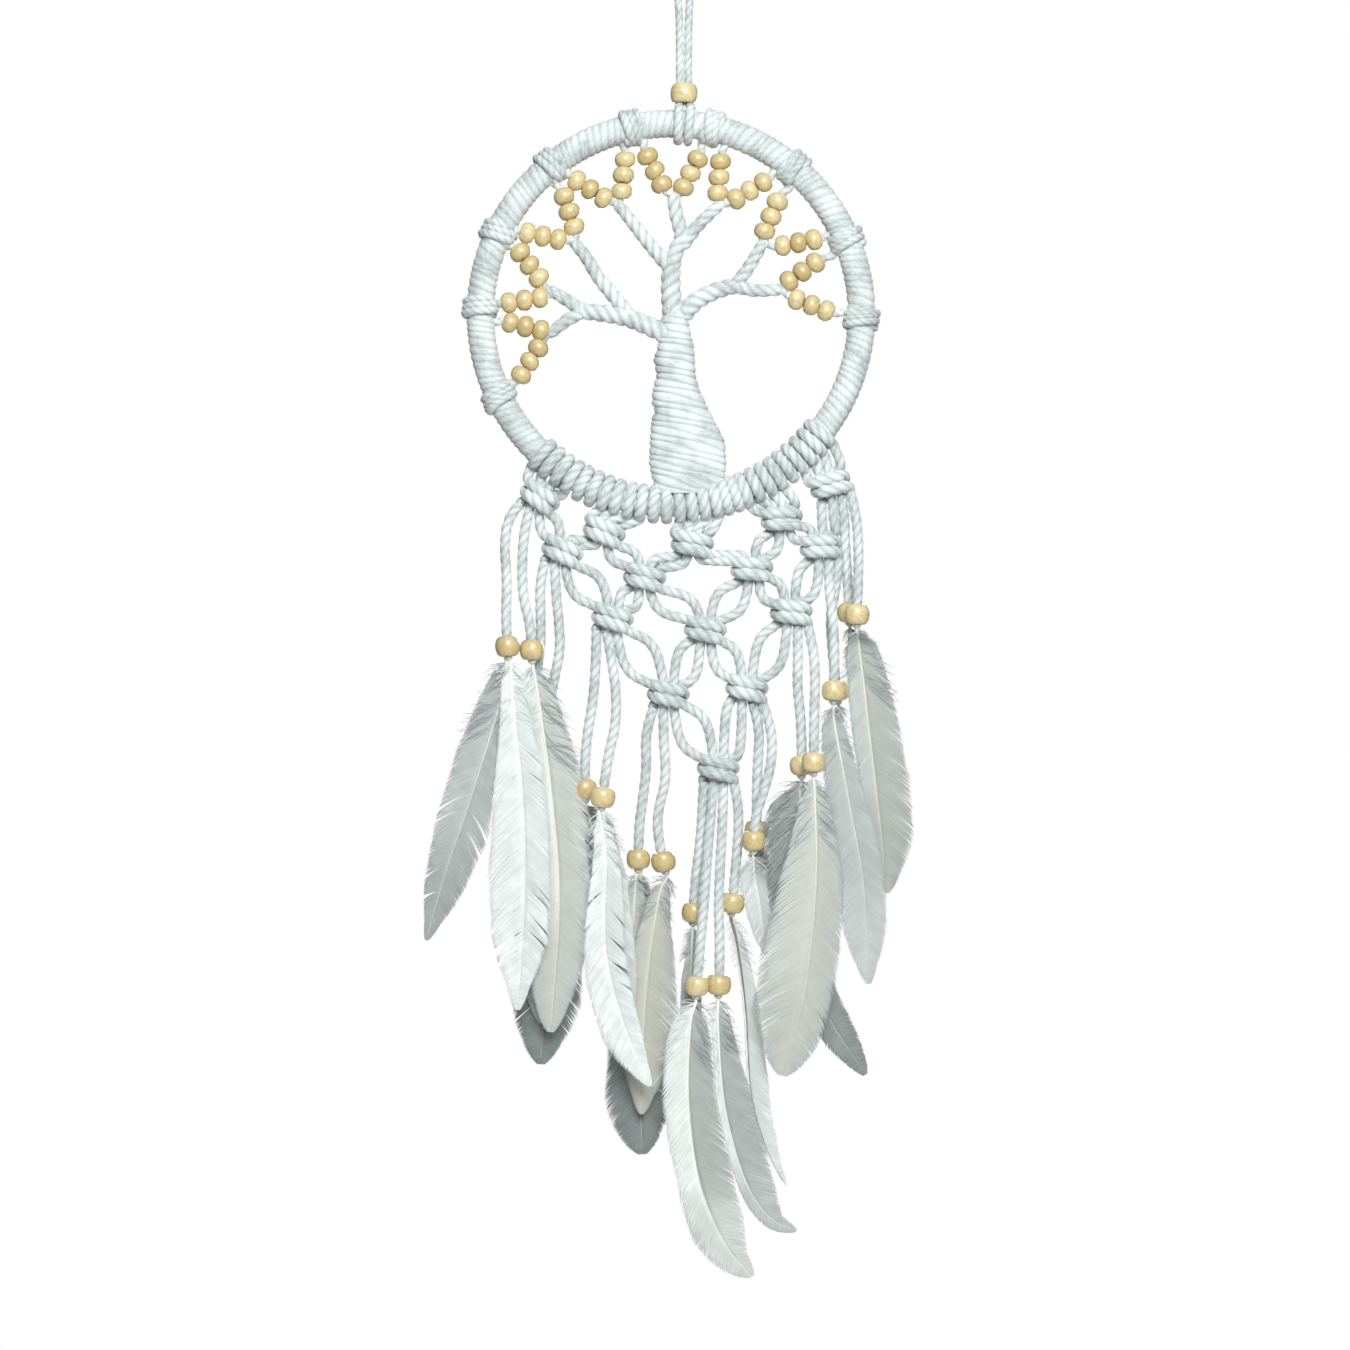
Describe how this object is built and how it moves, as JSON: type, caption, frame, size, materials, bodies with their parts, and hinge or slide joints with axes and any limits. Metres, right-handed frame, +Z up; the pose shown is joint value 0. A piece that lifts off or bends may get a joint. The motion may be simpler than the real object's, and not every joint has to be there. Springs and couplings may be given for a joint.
{
  "type": "macrame tree-of-life dream catcher",
  "caption": "Wrapped hoop with a corded tree and a zigzag of wooden beads inside, a knotted net below it, and beaded strands that end in feathers, hung from a doubled cord.",
  "frame": {"origin": "inside of the top bend of the hanging loop, where the nail or hook carries it", "axes": "+X to the right seen from the front, +Y away from the viewer towards the wall, +Z up"},
  "size_m": [0.2071, 0.0242, 0.5601],
  "materials": {
    "cotton_cord": "matte twisted cotton",
    "thin_string": "matte waxed cotton string",
    "turned_wood": "clear gloss lacquer on pale yellow wood",
    "steel_rod": "plain drawn rod, hidden by the cord wound on it",
    "trunk_filler": "bundle of cord ends, hidden by the cord wound on it",
    "white_feather": "white to beige feather, satin",
    "grey_feather": "grey feather, satin"
  },
  "bodies": {
    "hook_end": {"hanging_loop": "cotton_cord"},
    "top_bead": {"top_bead": "turned_wood"},
    "hoop_and_net": {"hoop_rod": "steel_rod", "hoop_wrap": "cotton_cord", "hoop_lashings": "cotton_cord", "hanger_hitch": "cotton_cord", "net_hitches": "cotton_cord", "trunk_core": "trunk_filler", "trunk_wrap": "cotton_cord", "branch_left": "cotton_cord", "branch_top": "cotton_cord", "branch_right": "cotton_cord", "bead_string": "thin_string", "tree_beads_left": "turned_wood", "tree_beads_top": "turned_wood", "tree_beads_right": "turned_wood", "net_knots_row_1": "cotton_cord", "net_knots_row_2": "cotton_cord", "net_knots_row_3": "cotton_cord", "net_knots_row_4": "cotton_cord", "net_knots_row_5": "cotton_cord", "net_cords_row_1": "cotton_cord", "net_cords_row_2": "cotton_cord", "net_cords_row_3": "cotton_cord", "net_cords_row_4": "cotton_cord", "net_cords_row_5": "cotton_cord"},
    "strands_k11_swinging": {"strands_k11": "cotton_cord", "beads_k11": "turned_wood", "feather_front_left": "white_feather", "feather_far_left": "grey_feather", "feather_left_inner": "white_feather"},
    "strands_k21_swinging": {"strands_k21": "cotton_cord", "beads_k21": "turned_wood", "feathers_left_rear": "grey_feather"},
    "strands_k31_swinging": {"strands_k31": "cotton_cord", "beads_k31": "turned_wood", "feathers_centre_left": "white_feather"},
    "strands_k41_swinging": {"strands_k41": "cotton_cord", "beads_k41": "turned_wood", "feathers_centre_rear": "grey_feather"},
    "strands_k51_swinging": {"strands_k51": "cotton_cord", "beads_k51": "turned_wood", "feather_lowest": "white_feather", "feather_lowest_right": "white_feather", "feather_narrow_left": "white_feather", "feather_narrow_right": "white_feather"},
    "strands_k42_swinging": {"strands_k42": "cotton_cord", "beads_k42": "turned_wood", "feathers_short_right": "white_feather"},
    "strands_k33_swinging": {"strands_k33": "cotton_cord", "beads_k33": "turned_wood", "feathers_broad_right": "white_feather"},
    "strands_k24_swinging": {"strands_k24": "cotton_cord", "beads_k24": "turned_wood", "feathers_inner_right": "white_feather"},
    "strands_k15_swinging": {"strands_k15": "cotton_cord", "beads_k15": "turned_wood", "feathers_far_right": "grey_feather"}
  },
  "joints": [
    {"name": "loop_twist", "type": "hinge", "parent": "hook_end", "child": "hoop_and_net", "pos_m": [0, 0, -0.065], "axis": [0, 0, 1], "range_deg": [-60, 60]},
    {"name": "top_bead_slide", "type": "slide", "parent": "hook_end", "child": "top_bead", "axis": [0, 0, 1], "range_m": [0, 0.02]},
    {"name": "swing_k11", "type": "hinge", "parent": "hoop_and_net", "child": "strands_k11_swinging", "pos_m": [-0.0605, -0.00429, -0.23], "axis": [1, 0, 0], "range_deg": [-30, 0]},
    {"name": "swing_k21", "type": "hinge", "parent": "hoop_and_net", "child": "strands_k21_swinging", "pos_m": [-0.051, 0.00532, -0.2525], "axis": [1, 0, 0], "range_deg": [0, 30]},
    {"name": "swing_k31", "type": "hinge", "parent": "hoop_and_net", "child": "strands_k31_swinging", "pos_m": [-0.03, -0.00251, -0.2805], "axis": [1, 0, 0], "range_deg": [-30, 0]},
    {"name": "swing_k41", "type": "hinge", "parent": "hoop_and_net", "child": "strands_k41_swinging", "pos_m": [-0.0065, 0.0055, -0.3125], "axis": [1, 0, 0], "range_deg": [0, 30]},
    {"name": "swing_k51", "type": "hinge", "parent": "hoop_and_net", "child": "strands_k51_swinging", "pos_m": [0.0145, 0.0001, -0.3435], "axis": [1, 0, 0], "range_deg": [-30, 0]},
    {"name": "swing_k42", "type": "hinge", "parent": "hoop_and_net", "child": "strands_k42_swinging", "pos_m": [0.0265, 0.0031, -0.31], "axis": [1, 0, 0], "range_deg": [0, 30]},
    {"name": "swing_k33", "type": "hinge", "parent": "hoop_and_net", "child": "strands_k33_swinging", "pos_m": [0.045, -0.00216, -0.278], "axis": [1, 0, 0], "range_deg": [-30, 0]},
    {"name": "swing_k24", "type": "hinge", "parent": "hoop_and_net", "child": "strands_k24_swinging", "pos_m": [0.0575, -0.00071, -0.2505], "axis": [1, 0, 0], "range_deg": [-30, 0]},
    {"name": "swing_k15", "type": "hinge", "parent": "hoop_and_net", "child": "strands_k15_swinging", "pos_m": [0.0615, 0.00375, -0.2245], "axis": [1, 0, 0], "range_deg": [0, 30]}
  ]
}
